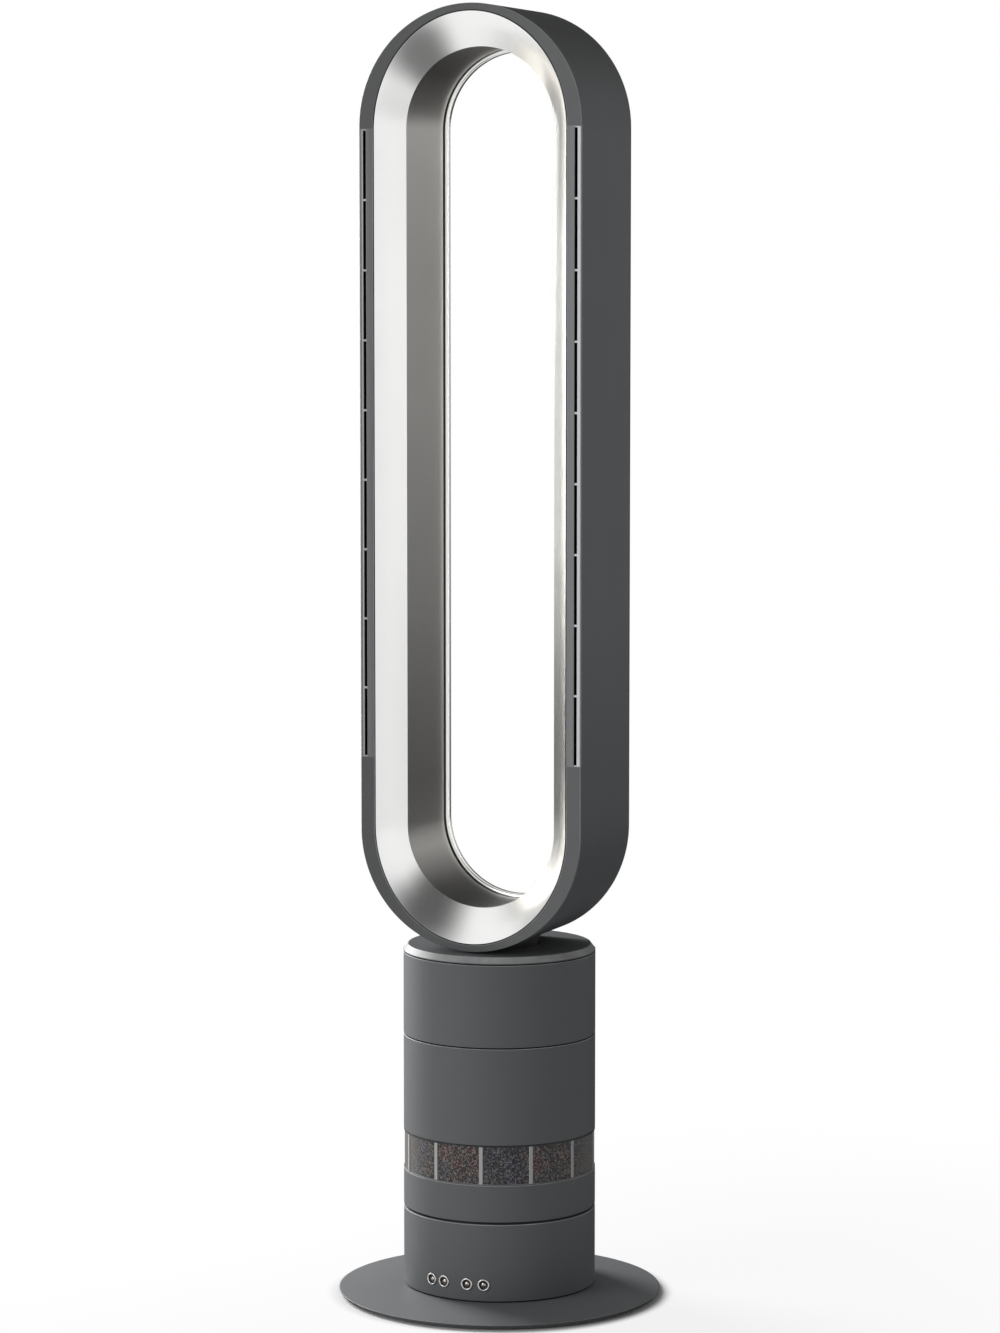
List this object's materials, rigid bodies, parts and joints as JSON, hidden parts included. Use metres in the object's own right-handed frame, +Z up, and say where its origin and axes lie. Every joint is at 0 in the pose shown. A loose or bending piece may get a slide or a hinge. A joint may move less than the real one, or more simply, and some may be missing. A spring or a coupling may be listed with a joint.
{
  "type": "bladeless fan",
  "caption": "Tall bladeless tower fan: an open obround air loop with front air slots on a turning round body with a mesh intake band, over a fixed housing with push buttons and a foot disc.",
  "frame": {"origin": "middle of the foot on the floor", "axes": "+Z up, -Y the front that the air leaves from, +X to the right seen from the front"},
  "size_m": [0.252, 0.252, 0.9999],
  "materials": {
    "slate_plastic": "satin slate grey",
    "dark_plastic": "matt black",
    "silver_cone": "satin silver",
    "tunnel_silver": "satin silver paint",
    "bezel_chrome": "polished",
    "button_metal": "satin",
    "pale_trim": "satin pale grey",
    "white_plastic": "natural",
    "mesh_dark": "dark woven mesh",
    "rubber": "matt",
    "ballast": "plain",
    "steel": "zinc plated",
    "motor_can": "plain",
    "board": "green board"
  },
  "bodies": {
    "base": {"rubber_feet": "rubber", "underside_cover": "dark_plastic", "ballast_plate": "ballast", "foot_disc": "slate_plastic", "lower_housing": "slate_plastic", "base_screws": "steel", "button_bezels": "bezel_chrome", "switch_board": "board", "tact_switches": "dark_plastic", "control_board": "board", "board_parts": "dark_plastic", "board_screws": "steel", "cord_grommet": "rubber", "swing_deck": "dark_plastic", "deck_screws": "steel", "swing_motor": "motor_can", "motor_screws": "steel", "slide_ring": "white_plastic"},
    "power_key": {"power_button": "button_metal"},
    "slower_key": {"slower_button": "button_metal"},
    "faster_key": {"faster_button": "button_metal"},
    "swing_key": {"swing_button": "button_metal"},
    "pinion": {"drive_pinion": "white_plastic", "pinion_shaft": "steel"},
    "tower": {"turntable": "dark_plastic", "spindle_nut": "steel", "gear_sector": "white_plastic", "turntable_screws": "steel", "lower_collar": "slate_plastic", "driver_board": "board", "driver_parts": "motor_can", "driver_screws": "steel", "intake_grille": "pale_trim", "intake_mesh": "mesh_dark", "mid_housing": "slate_plastic", "ledge_screws": "steel", "rubber_mounts": "rubber", "impeller_shroud": "dark_plastic", "diffuser": "dark_plastic", "motor_sleeve": "rubber", "fan_motor": "motor_can", "motor_bearings": "steel", "motor_cap": "dark_plastic", "outlet_duct": "dark_plastic", "upper_housing": "slate_plastic", "top_cap": "slate_plastic", "neck": "dark_plastic", "neck_seal": "rubber", "loop_casing": "slate_plastic", "rear_cover": "slate_plastic", "front_rim": "slate_plastic", "silver_cone": "silver_cone", "tunnel_liner": "tunnel_silver", "rear_lip": "tunnel_silver", "slot_trims": "pale_trim", "duct_ribs": "dark_plastic", "loop_spigot": "dark_plastic", "loop_screws": "steel"},
    "rotor": {"impeller": "white_plastic", "impeller_shaft": "steel"}
  },
  "joints": [
    {"name": "swing", "type": "hinge", "parent": "base", "child": "tower", "pos_m": [0, 0, 0.064], "axis": [0, 0, 1], "range_deg": [-35, 35]},
    {"name": "pinion_spin", "type": "hinge", "parent": "base", "child": "pinion", "pos_m": [0.045, 0, 0.055], "axis": [0, 0, 1], "range_deg": [-192.5, 192.5]},
    {"name": "impeller_spin", "type": "hinge", "parent": "tower", "child": "rotor", "pos_m": [0, 0, 0.16], "axis": [0, 0, 1], "continuous": true},
    {"name": "power_press", "type": "slide", "parent": "base", "child": "power_key", "axis": [0.3584, 0.9336, 0], "range_m": [0, 0.0006], "stiffness_N_per_m": 400, "springref_m": -0.0006},
    {"name": "slower_press", "type": "slide", "parent": "base", "child": "slower_key", "axis": [0.2028, 0.9792, 0], "range_m": [0, 0.0006], "stiffness_N_per_m": 400, "springref_m": -0.0006},
    {"name": "faster_press", "type": "slide", "parent": "base", "child": "faster_key", "axis": [-0.0593, 0.9982, 0], "range_m": [0, 0.0006], "stiffness_N_per_m": 400, "springref_m": -0.0006},
    {"name": "swing_press", "type": "slide", "parent": "base", "child": "swing_key", "axis": [-0.2351, 0.972, 0], "range_m": [0, 0.0006], "stiffness_N_per_m": 400, "springref_m": -0.0006}
  ],
  "couplings": [
    {"joint": "pinion_spin", "follows": "swing", "ratio": 5.5}
  ]
}
